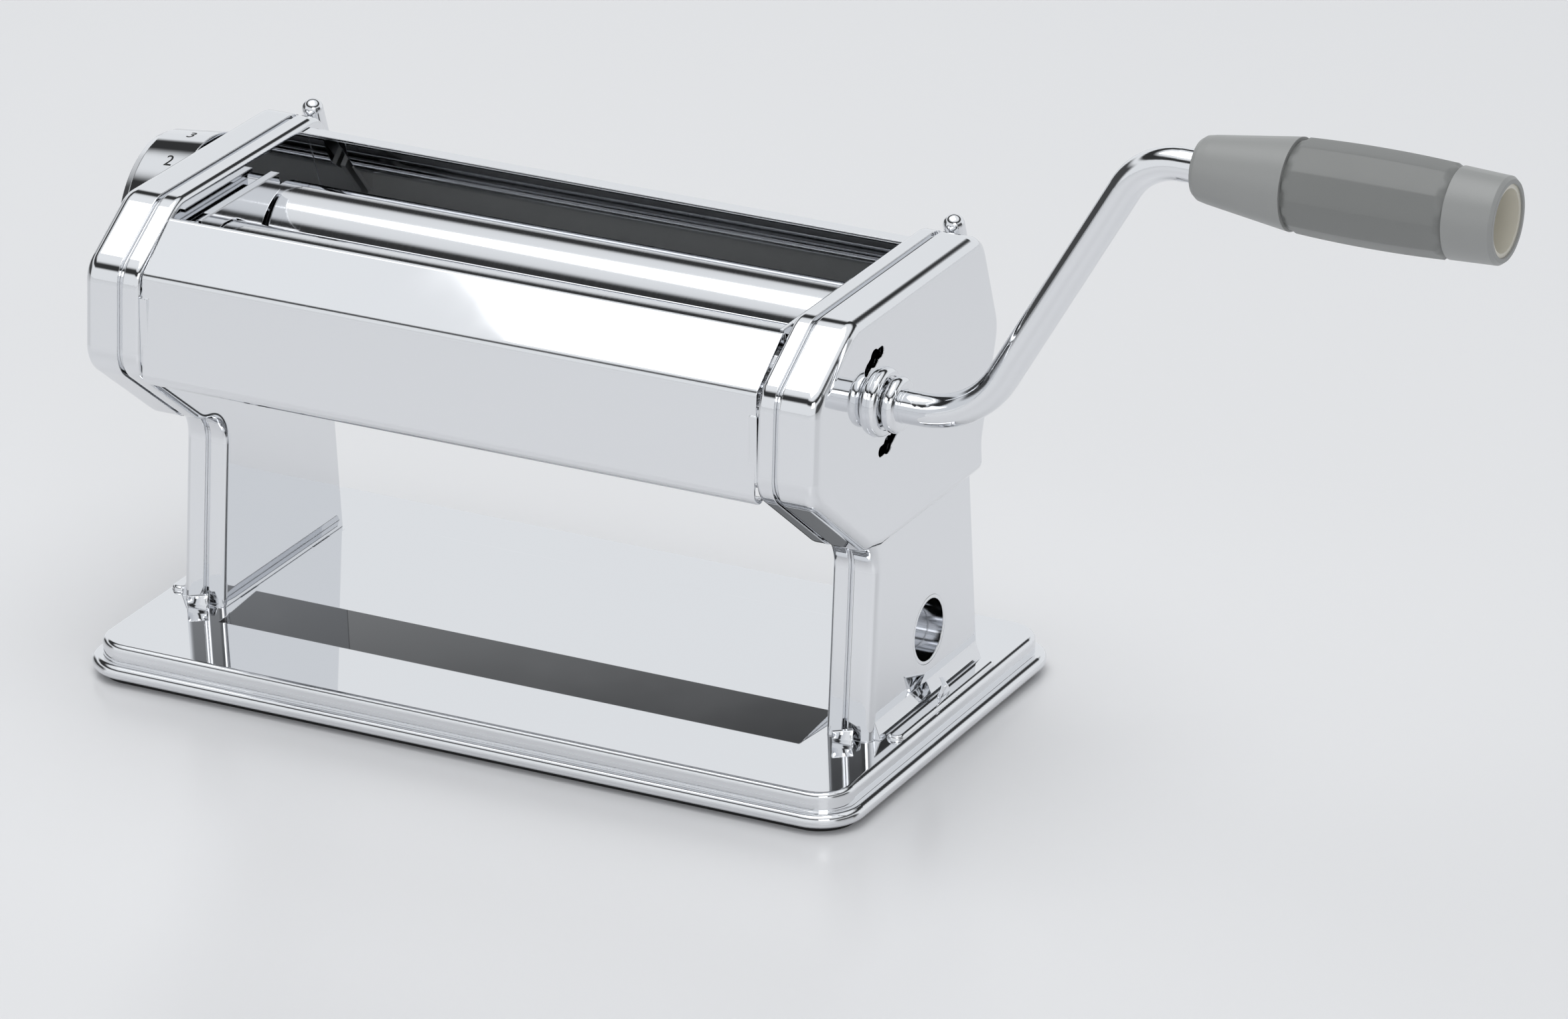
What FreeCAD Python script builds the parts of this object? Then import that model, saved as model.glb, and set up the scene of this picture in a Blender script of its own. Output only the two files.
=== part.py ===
"""Hand-cranked pasta roller machine, as an assembly of separate pieces.

Frame: X runs along the rollers, + towards the crank; Y runs away from the user;
Z is up.  The origin is the centre of the base on the table.  Millimetres.
"""
import FreeCAD, Part
import os
from math import cos, sin, tan, radians, atan2, hypot, asin

V = FreeCAD.Vector
X_AXIS = V(1, 0, 0)
Y_AXIS = V(0, 1, 0)
Z_AXIS = V(0, 0, 1)

# ---------------------------------------------------------------- fits
RUN = 0.05            # radial gap of a running or sliding fit
LOOSE = 0.3           # gap between moving pieces that must not rub
SEAT = 0.15           # gap where one sheet piece sits inside another

# ---------------------------------------------------------------- base
BASE_LENGTH = 205.0
BASE_WIDTH = 114.5
BASE_TOP = 9.7        # height of the base's top over the table
BASE_CORNER = 9.0
BASE_WALL = 0.9
RIM_OUT = 2.8         # how far the rolled rim stands out
RIM_HEIGHT = 3.6
RIM_ROUND = 1.7
RIM_LEDGE = 7.0       # flat underside of the rim
FOOT_RING_HEIGHT = 1.5
FOOT_RING_INSET = 3.0
FOOT_RING_WIDTH = 5.0
PLATFORM_RISE = 1.5
PLATFORM_FRONT_TOE = -33.0
PLATFORM_FRONT_TOP = -15.0
PLATFORM_REAR = 36.0
RIDGE_RISE = 1.2
RIDGE_WIDTH = 4.4

# ---------------------------------------------------------------- side walls
SIDE_GAP = 166.0      # clear width between the two frame plates
PLATE_SHEET = 1.2
LIP_DEPTH = 4.5       # frame plate's lip, measured out from its inner face
GROOVE = 1.5          # open groove between lip and cover
COVER_SHEET = 1.0
COLUMN_DEPTH = 12.0   # inner face of the plate to the column's face
HEAD_DEPTH = 15.7     # inner face of the plate to the head's face
EDGE_ROUND = 3.0
NECK_SET_IN = PLATE_SHEET + SEAT
NECK_SHEET = 1.0
NECK_LENGTH = 2.2
SKIRT_HEIGHT = 4.5
SKIRT_OUT = 1.6

# ---------------------------------------------------------------- side outline, (Y, Z)
HEAD_TOP = 122.5
HEAD_FRONT = -62.0
HEAD_REAR = 37.5
CHIN = (HEAD_FRONT, 85.0)
BROW = (HEAD_FRONT + 1.5, 110.0)
TOP_FRONT = (-41.0, HEAD_TOP)
TOP_REAR = (28.0, HEAD_TOP)
BACK = (HEAD_REAR, 96.0)
THROAT_FRONT = (-33.0, 62.5)
NECK_FRONT = (-21.3, 60.0)
NECK_REAR = (28.8, 69.0)
FOOT_FRONT = -25.3
FOOT_REAR = 34.5
STEP_HEIGHT = 61.0    # where the head's face steps down to the column's

# ---------------------------------------------------------------- rollers
ROLLER_D = 28.0
ROLLER_HEIGHT = 99.0
ROLLER_GAP = 2.1      # at setting 3
DRIVE_Y = -27.5
ROLLER_WALL = 3.5
ROLLER_END_GAP = 3.0  # barrel end to frame plate
END_CAP = 5.0
DRIVE_JOURNAL_D = 13.0
ADJUST_JOURNAL_D = 15.0
SHAFT_D = 7.0
JOURNAL_BORE_D = 11.6
BUSH_WALL = 1.8
BUSH_FLANGE = 1.6
BUSH_HEAD = 1.0

# ---------------------------------------------------------------- thickness setting
SETTINGS = 9
SETTING_ANGLE = 30.0
SETTING_STEP = 0.3    # gap change for one setting
REST_SETTING = 3
BLOCK_LENGTH = 21.0
BLOCK_HEIGHT = 21.0
BLOCK_CHEEK = 2.0     # flange of the block beyond its slot
CAM_RADIUS = 9.6      # at the rest setting
CAM_THICK = 2.4
FOLLOWER_D = 4.0
YOKE_SHEET = 1.4
PEG_D = 3.0
SLIDER_SPRING_R = 1.9
SLIDER_SPRING_WIRE = 0.6
SLIDER_SPRING_TURNS = 7

# ---------------------------------------------------------------- gears
TEETH = 12
GEAR_TIP_R = 16.3
GEAR_ROOT_R = 11.3
GEAR_WIDTH = 5.0
TOOTH_ROOT = 3.6
TOOTH_MIDDLE = 3.0
TOOTH_TIP = 1.4

# ---------------------------------------------------------------- crank
ROD_D = 8.0
CRANK_THROW = 72.0
ARM_ANGLE = 59.6      # arm from the hub's axis, degrees
HUB_TO_BEND = 24.4    # head's face to the corner of the lower bend
LOWER_BEND_R = 24.0
UPPER_BEND_R = 16.0
GRIP_START = 178.7
GRIP_LENGTH = 75.7
GRIP_NOSE_R = 8.0
GRIP_NECK_R = 10.9
GRIP_BELLY_R = 11.5
GRIP_END_R = 10.2
GRIP_NOSE_LENGTH = 24.3
GRIP_COLLAR_LENGTH = 12.0
LINER_R = 8.5
LINER_WALL = 1.1
LINER_DEPTH = 16.0    # open cup at the grip's end
NOSE_SOLID = 12.0
SLEEVE_WALL = 1.4
SPIGOT_FLATS = 7.0
SPIGOT_LENGTH = 22.0
CRANK_SEAT = 3.0      # rod entry into the socket before its hexagon
COLLAR_R = 6.8
COLLAR_WIDTH = 3.6
HUB_BUSH_R = 8.3
HUB_BUSH_OUT = 2.2
SLOT_RADIUS = 12.6    # bayonet slots, measured from the hub's axis
SLOT_WIDTH = 2.8
SLOT_FROM = 90.0
SLOT_TO = 126.0
SLOT_BULGE = 4.6
SLOT_BULGE_AT = 106.0

# ---------------------------------------------------------------- dial
DIAL_R = 22.8
DIAL_FACE_R = 21.4
DIAL_DEPTH = 17.0     # cover's face to the dial's outer face
DIAL_WALL = 1.6
WELL_R = 8.4          # round well in the dial's face
WELL_DEPTH = 9.6
WASHER_SINK = 1.6     # washer below the dial's face
WASHER_THICK = 1.0
PIN_SHORT = 0.2       # index pin's tip to the ring
DIAL_GAP = 0.8        # dial skirt to the cover's face
INDEX_R = 15.0
INDEX_PIN_D = 3.0
INDEX_HOLE_D = 3.6
INDEX_RING_THICK = 1.2
SPRING_WIRE = 0.7
SPRING_TURNS = 4

# ---------------------------------------------------------------- panels, rails, rods
PANEL_SHEET = 0.8
PANEL_SET_IN = 1.0
CREASE_R = 2.4        # bend between the front panel's slope and its face
ROLL_R = 3.2          # rolled lower edge of the front panel
RAIL_D = 5.4
RAIL_STAND_OFF = 3.4
RAIL_SET_DOWN = 2.6   # upper dome below the slope's top corner
RAIL_DROP = 30.0
RAIL_FOOT_D = 3.4
TIE_ROD_D = 6.0
TIE_RODS = {"front_upper": (-52.0, 100.0), "front_lower": (-46.0, 83.0), "rear": (22.5, 86.0)}
NUT_FLATS = 9.0
NUT_HEIGHT = 2.6

# ---------------------------------------------------------------- clamp socket
CLAMP_R = 7.8
CLAMP_WALL = 0.9
CLAMP_Y = 6.3
CLAMP_Z = 27.1

# ---------------------------------------------------------------- guides and scrapers
GUIDE_SHEET = 1.0
GUIDE_INSET = 5.0     # guide's inner face from the frame plate
GUIDE_TOP = 117.5
GUIDE_FRONT = -39.0
GUIDE_REAR = -2.0
GUIDE_FOLD = 2.4      # width of the narrow edge folded over at the top
GUIDE_FOLD_FRONT = -34.0
GUIDE_SHELF = 0.6     # underside of the shelf over the roller
SCRAPER_SHEET = 1.0
SCRAPER_GAP = 0.35

# ---------------------------------------------------------------- worked out from the above
PLATE_IN = SIDE_GAP / 2
PLATE_OUT = PLATE_IN + PLATE_SHEET
LIP_END = PLATE_IN + LIP_DEPTH
COVER_START = LIP_END + GROOVE
COLUMN_FACE = PLATE_IN + COLUMN_DEPTH
HEAD_FACE = PLATE_IN + HEAD_DEPTH
FOOT_Z = BASE_TOP
ROLLER_R = ROLLER_D / 2
ADJUST_Y = DRIVE_Y + ROLLER_D + ROLLER_GAP
CLOSE_TRAVEL = (SETTINGS - REST_SETTING) * SETTING_STEP
OPEN_TRAVEL = (REST_SETTING - 1) * SETTING_STEP
CAM_RISE = SETTING_STEP / radians(SETTING_ANGLE)      # mm of travel per radian
BARREL_END = PLATE_IN - ROLLER_END_GAP
BUSH_START = PLATE_IN - BUSH_HEAD
BUSH_END = PLATE_OUT + BUSH_FLANGE
GEAR_START = BUSH_END + LOOSE
GEAR_END = GEAR_START + GEAR_WIDTH
YOKE_START = GEAR_END + LOOSE
YOKE_END = YOKE_START + YOKE_SHEET
CAM_START_RIGHT = YOKE_END + LOOSE
CAM_START_LEFT = BUSH_END + LOOSE
SLIDER_PEG_Y = ADJUST_Y + GEAR_TIP_R + 2.2
ANCHOR_PEG_Y = HEAD_REAR - 6.0
SLIDER_SPRING_X = BUSH_END + SLIDER_SPRING_R + SLIDER_SPRING_WIRE / 2 + 0.2
BEND_X = HEAD_FACE + HUB_TO_BEND
GRIP_Z = ROLLER_HEIGHT + CRANK_THROW
GRIP_END = GRIP_START + GRIP_LENGTH


# ================================================================ small helpers
def box(x0, x1, y0, y1, z0, z1):
    """Block between two corners."""
    return Part.makeBox(x1 - x0, y1 - y0, z1 - z0, V(x0, y0, z0))


def rod_x(x0, x1, y, z, radius):
    """Cylinder along X."""
    return Part.makeCylinder(radius, x1 - x0, V(x0, y, z), X_AXIS)


def tube_x(x0, x1, y, z, outer, inner):
    """Tube along X."""
    return rod_x(x0, x1, y, z, outer).cut(rod_x(x0 - 1, x1 + 1, y, z, inner))


def revolve_x(points, y, z):
    """Solid of revolution about the line through (y, z) along X; points are (x, radius)."""
    wire = Part.makePolygon([V(px, y, z + pr) for px, pr in points + [points[0]]])
    return Part.Face(wire).revolve(V(0, y, z), X_AXIS, 360)


def fuse(pieces):
    """One solid from several that touch."""
    whole = pieces[0].fuse(pieces[1:]) if len(pieces) > 1 else pieces[0]
    return whole.removeSplitter()


def mirrored(shape):
    """The same piece on the other side of the machine."""
    return shape.mirror(V(0, 0, 0), X_AXIS)


def hexagon_x(x0, x1, y, z, flats):
    """Hexagonal bar along X, measured across its flats."""
    corner = flats / 2 / cos(radians(30))
    spots = [V(x0, y + corner * cos(radians(60 * i)), z + corner * sin(radians(60 * i))) for i in range(7)]
    return Part.Face(Part.makePolygon(spots)).extrude(V(x1 - x0, 0, 0))


def rounded_wire(corners, x):
    """Closed outline in the plane at x; each corner is (y, z, radius)."""
    count = len(corners)
    spans = []
    for i in range(count):
        here = V(x, corners[i][0], corners[i][1])
        before = V(x, *corners[i - 1][:2]) - here
        after = V(x, *corners[(i + 1) % count][:2]) - here
        half = before.getAngle(after) / 2
        radius = corners[i][2]
        reach = radius / tan(half) if radius else 0
        before.normalize()
        after.normalize()
        start = here + before * reach
        end = here + after * reach
        middle = None
        if radius:
            inward = before + after
            inward.normalize()
            middle = here + inward * (radius / sin(half) - radius)
        spans.append((start, middle, end))
    edges = []
    for i in range(count):
        start, middle, end = spans[i]
        if middle is not None:
            edges.append(Part.Arc(start, middle, end).toShape())
        edges.append(Part.LineSegment(end, spans[(i + 1) % count][0]).toShape())
    return Part.Wire(edges)


def slab(wire, x0, x1, inset=0.0):
    """Solid from an outline, drawn in by inset, between two planes."""
    outline = wire.makeOffset2D(-inset) if inset else wire
    face = Part.Face(outline)
    face.translate(V(x0 - wire.BoundBox.XMin, 0, 0))
    return face.extrude(V(x1 - x0, 0, 0))


def edges_at_x(shape, x, at_least_z=-1e9):
    """Edges that lie wholly in the plane at x."""
    found = []
    for edge in shape.Edges:
        span = edge.BoundBox
        if abs(span.XMin - x) < 1e-4 and abs(span.XMax - x) < 1e-4 and span.ZMin > at_least_z:
            found.append(edge)
    return found


def write(name, shape):
    """Save one named piece."""
    solids = shape.Solids
    assert solids and shape.isValid(), name
    whole = solids[0] if len(solids) == 1 else Part.makeCompound(solids)
    whole.exportStep("parts/%s.step" % name)
    print("%-24s %2d solid(s) %10.1f mm3" % (name, len(solids), whole.Volume))


# ================================================================ base
def stadium(length, width, corner, z0, z1):
    """Rounded rectangle about the origin, from z0 to z1."""
    block = box(-length / 2, length / 2, -width / 2, width / 2, z0, z1)
    return block.makeFillet(corner, [e for e in block.Edges if abs(e.BoundBox.ZLength - (z1 - z0)) < 1e-6])


def rim_edges(shape, z):
    """Edges lying in the plane at height z."""
    return [e for e in shape.Edges if abs(e.BoundBox.ZMin - z) < 1e-5 and abs(e.BoundBox.ZMax - z) < 1e-5]


def platform(rise, shrink):
    """Raised middle of the base between the columns, with a long front slope."""
    half = PLATE_IN - 3.0 - shrink
    low = FOOT_Z - BASE_WALL
    top = FOOT_Z + rise
    profile = [V(-half, PLATFORM_FRONT_TOE + shrink, low),
               V(-half, PLATFORM_FRONT_TOE + shrink, FOOT_Z + rise - PLATFORM_RISE),
               V(-half, PLATFORM_FRONT_TOP, top),
               V(-half, PLATFORM_REAR - shrink, top),
               V(-half, PLATFORM_REAR + PLATFORM_RISE - shrink, low)]
    return Part.Face(Part.makePolygon(profile + [profile[0]])).extrude(V(2 * half, 0, 0))


def foot_ridge(side):
    """Low ridge pressed into the base along the outside of a column."""
    middle = side * (COLUMN_FACE + SKIRT_OUT + RIDGE_WIDTH / 2 + SEAT)
    radius = RIDGE_WIDTH / 2
    span = box(middle - radius, middle + radius, FOOT_FRONT + 4, FOOT_REAR - 3,
               FOOT_Z - 0.4, FOOT_Z + RIDGE_RISE)
    ends = [e for e in span.Edges if e.BoundBox.ZLength > RIDGE_RISE]
    span = span.makeFillet(radius - 0.01, ends)
    return span.makeFillet(0.9, rim_edges(span, FOOT_Z + RIDGE_RISE))


def tab_spots():
    """Places where the frame plates' tabs pass through the base: (side, y)."""
    return [(side, y) for side in (1, -1) for y in (FOOT_FRONT + 12, FOOT_REAR - 12)]


TAB_LENGTH = 8.0
TAB_DEPTH = 3.4


def base_plate():
    """Pressed base: flat top, upright riser, rolled rim, platform and two ridges."""
    rim_low = FOOT_RING_HEIGHT
    riser = stadium(BASE_LENGTH, BASE_WIDTH, BASE_CORNER, rim_low, BASE_TOP)
    riser = riser.makeFillet(1.4, rim_edges(riser, BASE_TOP))
    rim = stadium(BASE_LENGTH + 2 * RIM_OUT, BASE_WIDTH + 2 * RIM_OUT, BASE_CORNER + RIM_OUT,
                  rim_low, rim_low + RIM_HEIGHT)
    rim = rim.makeFillet(RIM_ROUND, rim_edges(rim, rim_low) + rim_edges(rim, rim_low + RIM_HEIGHT))
    body = fuse([riser, rim])
    ledge = RIM_LEDGE - RIM_OUT
    hollow = stadium(BASE_LENGTH - 2 * ledge, BASE_WIDTH - 2 * ledge, BASE_CORNER - 2, -1, rim_low + 1.0)
    upper = stadium(BASE_LENGTH - 2 * BASE_WALL, BASE_WIDTH - 2 * BASE_WALL, BASE_CORNER - BASE_WALL,
                    rim_low + BASE_WALL, BASE_TOP - BASE_WALL)
    body = body.cut(fuse([hollow, upper]))
    body = fuse([body, platform(PLATFORM_RISE, 0.0), foot_ridge(1), foot_ridge(-1)])
    body = body.cut(platform(PLATFORM_RISE - BASE_WALL, BASE_WALL))
    for side, y in tab_spots():
        slot = box(PLATE_IN - SEAT, PLATE_OUT + SEAT, y - TAB_LENGTH / 2 - SEAT, y + TAB_LENGTH / 2 + SEAT,
                   FOOT_Z - 2, FOOT_Z + 1)
        body = body.cut(slot if side > 0 else mirrored(slot))
    return body.removeSplitter()


def foot_ring():
    """Rubber ring under the rim; its underside is the face on the table."""
    out_length = BASE_LENGTH + 2 * RIM_OUT - 2 * FOOT_RING_INSET
    out_width = BASE_WIDTH + 2 * RIM_OUT - 2 * FOOT_RING_INSET
    outer = stadium(out_length, out_width, BASE_CORNER, 0, FOOT_RING_HEIGHT)
    inner = stadium(out_length - 2 * FOOT_RING_WIDTH, out_width - 2 * FOOT_RING_WIDTH, BASE_CORNER - 4,
                    -1, FOOT_RING_HEIGHT + 1)
    return outer.cut(inner)


def lock_tabs():
    """Twisted metal tabs at the feet of the columns, all alike."""
    tabs = []
    for side in (1, -1):
        ridge_x = COLUMN_FACE + SKIRT_OUT + RIDGE_WIDTH / 2 + SEAT
        for x, y, turn in ((ridge_x, CLAMP_Y, 0), (PLATE_IN + COLUMN_DEPTH / 2, FOOT_FRONT - 2.6, 90)):
            ground = FOOT_Z + (RIDGE_RISE if turn == 0 else 0)
            wires = []
            for level, twist in ((0.0, turn), (1.2, turn + 8), (3.4, turn + 38)):
                wire = Part.makePolygon([V(a, b, 0) for a, b in
                                         ((-0.5, -2.6), (0.5, -2.6), (0.5, 2.6), (-0.5, 2.6), (-0.5, -2.6))])
                wire.rotate(V(0, 0, 0), Z_AXIS, twist)
                wire.translate(V(side * x, y, ground + level))
                wires.append(wire)
            tabs.append(Part.makeLoft(wires, True, True))
    return Part.makeCompound(tabs)


# ================================================================ side walls
def side_corners(foot):
    """Corners of the side outline, each (y, z, radius), from the foot round to the foot."""
    return [(FOOT_FRONT, foot, 0), (*NECK_FRONT, 9.0), (*THROAT_FRONT, 9.0), (*CHIN, 9.0), (*BROW, 8.0),
            (*TOP_FRONT, 9.0), (*TOP_REAR, 8.0), (*BACK, 12.0), (*NECK_REAR, 14.0), (FOOT_REAR, foot, 0)]


def side_wire():
    """The whole outline of a side: head and column."""
    return rounded_wire(side_corners(FOOT_Z), 0)


def head_wire():
    """The head's outline alone, closed across the top of the column."""
    front_slope = (NECK_FRONT[0] - FOOT_FRONT) / (NECK_FRONT[1] - FOOT_Z)
    rear_slope = (FOOT_REAR - NECK_REAR[0]) / (NECK_REAR[1] - FOOT_Z)
    step_front = NECK_FRONT[0] + front_slope * (STEP_HEIGHT - NECK_FRONT[1]) - 4.5
    step_rear = NECK_REAR[0] + rear_slope * (NECK_REAR[1] - STEP_HEIGHT)
    return rounded_wire([(step_front, STEP_HEIGHT, 3.0), (*THROAT_FRONT, 6.0), (*CHIN, 9.0), (*BROW, 8.0),
                         (*TOP_FRONT, 9.0), (*TOP_REAR, 8.0), (*BACK, 12.0), (*NECK_REAR, 10.0),
                         (step_rear, STEP_HEIGHT, 3.0)], 0)


def frame_plate():
    """Right inner wall: a flat plate with a lip turned outwards, slot, bores, tabs and a spring peg."""
    wire = side_wire()
    body = slab(wire, PLATE_IN, LIP_END)
    rounding = [e for e in edges_at_x(body, PLATE_IN) if e.BoundBox.ZMax > FOOT_Z + 0.01]
    body = body.makeFillet(1.5, rounding)
    hollow = slab(wire, PLATE_OUT, LIP_END + 1, PLATE_SHEET)
    body = body.cut(hollow)
    body = body.cut(rod_x(0, 200, DRIVE_Y, ROLLER_HEIGHT, DRIVE_JOURNAL_D / 2 + RUN + BUSH_WALL))
    front = ADJUST_Y - CLOSE_TRAVEL - BLOCK_LENGTH / 2 - LOOSE
    rear = ADJUST_Y + OPEN_TRAVEL + BLOCK_LENGTH / 2 + LOOSE
    body = body.cut(box(0, 200, front, rear, ROLLER_HEIGHT - BLOCK_HEIGHT / 2 - RUN,
                        ROLLER_HEIGHT + BLOCK_HEIGHT / 2 + RUN))
    for y, z in TIE_RODS.values():
        body = body.cut(rod_x(0, 200, y, z, TIE_ROD_D / 2 - 1))
    anchor = rod_x(PLATE_OUT - 0.5, SLIDER_SPRING_X + 2.6, ANCHOR_PEG_Y, ROLLER_HEIGHT, PEG_D / 2)
    tabs = [box(PLATE_IN, PLATE_OUT, y - TAB_LENGTH / 2, y + TAB_LENGTH / 2, FOOT_Z - TAB_DEPTH, FOOT_Z + 2)
            for side, y in tab_spots() if side > 0]
    return fuse([body, anchor] + tabs)


def cover_form(inset, start):
    """Outer form of a cover, or its hollow when inset: column and prouder head."""
    full = slab(side_wire(), start, COLUMN_FACE - inset, inset)
    round_r = EDGE_ROUND - inset
    upright = [e for e in edges_at_x(full, COLUMN_FACE - inset) if e.BoundBox.ZMax > FOOT_Z + inset + 0.01]
    full = full.makeFillet(min(round_r, 2.4), upright)
    head = slab(head_wire(), start, HEAD_FACE - inset, inset)
    head = head.makeFillet(round_r, edges_at_x(head, HEAD_FACE - inset))
    return fuse([full, head])


def cover_skirt():
    """Flared strip at the foot of a column's face."""
    top = FOOT_Z + SKIRT_HEIGHT
    profile = [V(COLUMN_FACE - COVER_SHEET, 0, top), V(COLUMN_FACE, 0, top),
               V(COLUMN_FACE + SKIRT_OUT, 0, FOOT_Z), V(COLUMN_FACE - COVER_SHEET, 0, FOOT_Z)]
    strip = Part.Face(Part.makePolygon(profile + [profile[0]])).extrude(V(0, FOOT_REAR - FOOT_FRONT - 5, 0))
    strip.translate(V(0, FOOT_FRONT + 2.5, 0))
    return strip


def cover_shell():
    """Right cover before its holes: shell, groove web, neck inside the lip, skirt."""
    wire = side_wire()
    shell = cover_form(0.0, COVER_START).cut(cover_form(COVER_SHEET, COVER_START - 1))
    web = slab(wire, COVER_START, COVER_START + 1).cut(slab(wire, 0, 200, NECK_SET_IN + NECK_SHEET))
    neck = slab(wire, COVER_START - NECK_LENGTH, COVER_START + 0.5, NECK_SET_IN)
    neck = neck.cut(slab(wire, 0, 200, NECK_SET_IN + NECK_SHEET))
    open_foot = box(0, 200, FOOT_FRONT + 3.5, FOOT_REAR - 3.5,
                    FOOT_Z - 1, FOOT_Z + NECK_SET_IN + NECK_SHEET + 0.4)
    shell = fuse([shell, web, neck]).cut(open_foot)
    return fuse([shell, cover_skirt()])


def bayonet_slot(turn):
    """Wing-shaped slot beside the hub, turned about the hub's axis."""
    x0, x1 = COLUMN_FACE - 4, HEAD_FACE + 1
    band = tube_x(x0, x1, DRIVE_Y, ROLLER_HEIGHT, SLOT_RADIUS + SLOT_WIDTH / 2, SLOT_RADIUS - SLOT_WIDTH / 2)
    far = 3 * SLOT_RADIUS
    spread = [(0, 0)] + [(far * cos(radians(a)), far * sin(radians(a))) for a in (SLOT_FROM, SLOT_TO)]
    wedge = Part.makePolygon([V(x0, DRIVE_Y + y, ROLLER_HEIGHT + z) for y, z in spread + spread[:1]])
    slot = band.common(Part.Face(wedge).extrude(V(x1 - x0, 0, 0)))
    for angle, width in ((SLOT_FROM, SLOT_WIDTH), (SLOT_TO, SLOT_WIDTH), (SLOT_BULGE_AT, SLOT_BULGE)):
        a = radians(angle)
        slot = slot.fuse(rod_x(x0, x1, DRIVE_Y + SLOT_RADIUS * cos(a), ROLLER_HEIGHT + SLOT_RADIUS * sin(a),
                               width / 2))
    slot.rotate(V(0, DRIVE_Y, ROLLER_HEIGHT), X_AXIS, turn)
    return slot.removeSplitter()


def right_cover():
    """Crank-side cover: hub bush hole, two bayonet slots, clamp hole."""
    shell = cover_shell()
    shell = shell.cut(rod_x(COLUMN_FACE - 3, 200, DRIVE_Y, ROLLER_HEIGHT, HUB_BUSH_R))
    shell = shell.cut(bayonet_slot(0)).cut(bayonet_slot(180))
    return shell.cut(rod_x(PLATE_OUT, 200, CLAMP_Y, CLAMP_Z, CLAMP_R + CLAMP_WALL))


def left_cover():
    """Dial-side cover: one shaft hole and the ring of index holes seen through it."""
    shell = mirrored(cover_shell())
    return shell.cut(rod_x(-200, -COLUMN_FACE, ADJUST_Y, ROLLER_HEIGHT, SHAFT_D / 2 + BUSH_WALL + RUN))


def clamp_socket():
    """Short steel tube that takes the table clamp's pin."""
    tube = tube_x(PLATE_OUT, COLUMN_FACE, CLAMP_Y, CLAMP_Z, CLAMP_R + CLAMP_WALL, CLAMP_R)
    return tube


# ================================================================ panels, guides, rods
def sheet_strip(points, thickness, x0, x1):
    """Folded sheet of even thickness; thickness lies to the right of the walked line."""
    inner = []
    count = len(points)
    for i in range(count):
        y, z = points[i]
        normals = []
        for j in (i - 1, i):
            if 0 <= j < count - 1:
                dy, dz = points[j + 1][0] - points[j][0], points[j + 1][1] - points[j][1]
                size = hypot(dy, dz)
                normals.append((dz / size, -dy / size))
        ny = sum(n[0] for n in normals) / len(normals)
        nz = sum(n[1] for n in normals) / len(normals)
        scale = thickness / (ny * ny + nz * nz)
        inner.append((y + ny * scale, z + nz * scale))
    loop = [V(x0, y, z) for y, z in points] + [V(x0, y, z) for y, z in reversed(inner)]
    return Part.Face(Part.makePolygon(loop + [loop[0]])).extrude(V(x1 - x0, 0, 0))


def curl(cy, cz, radius, start, end, steps=6):
    """Points along an arc, for a rolled sheet edge."""
    return [(cy + radius * cos(radians(start + (end - start) * i / steps)),
             cz + radius * sin(radians(start + (end - start) * i / steps))) for i in range(steps + 1)]


def bend(before, corner, after, radius, steps=5):
    """Points along the arc that rounds a folded sheet's corner."""
    here = V(0, *corner)
    inward = V(0, *before) - here
    outward = V(0, *after) - here
    half = inward.getAngle(outward) / 2
    inward.normalize()
    outward.normalize()
    middle = inward + outward
    middle.normalize()
    centre = here + middle * (radius / sin(half))
    first = here + inward * (radius / tan(half)) - centre
    last = here + outward * (radius / tan(half)) - centre
    points = []
    for i in range(steps + 1):
        spoke = first * (1 - i / steps) + last * (i / steps)
        spoke.normalize()
        points.append(((centre + spoke * radius).y, (centre + spoke * radius).z))
    return points


def panel_ears(y0, y1, z0, z1):
    """Narrow uprights that join a panel's inside to both frame plates."""
    ear = box(PLATE_IN - 2.0, PLATE_IN, y0, y1, z0, z1)
    return [ear, mirrored(ear)]


def front_panel():
    """Bright panel over the front roller: slope, rounded crease, upright face, rolled bottom edge."""
    face_y = HEAD_FRONT + PANEL_SET_IN
    bottom = CHIN[1] - 0.5
    lip = (TOP_FRONT[0] - 3.2, HEAD_TOP - 9.0)
    top = (TOP_FRONT[0] - 4.2, HEAD_TOP - 1.6)
    crease = (BROW[0] + 0.8, BROW[1] - 0.4)
    points = [lip] + bend(lip, top, crease, 1.2, 3) + bend(top, crease, (face_y, bottom), CREASE_R)
    points += curl(face_y + ROLL_R, bottom, ROLL_R, 180, 300)
    points = list(reversed(points))
    half = PLATE_IN - 0.5
    sheet = sheet_strip(points, PANEL_SHEET, -half, half)
    return fuse([sheet] + panel_ears(face_y + 0.4, face_y + 6, bottom + 3, BROW[1] - 6))


def rear_panel():
    """Panel behind the rear roller: top return, slope down to the throat."""
    top = HEAD_TOP - 1.4
    points = [(16.6, top), (20.6, top), (29.6, 97.0), (26.0, 73.0), (19.0, 70.5)]
    return sheet_strip(points, PANEL_SHEET, -PLATE_IN, PLATE_IN)


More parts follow.
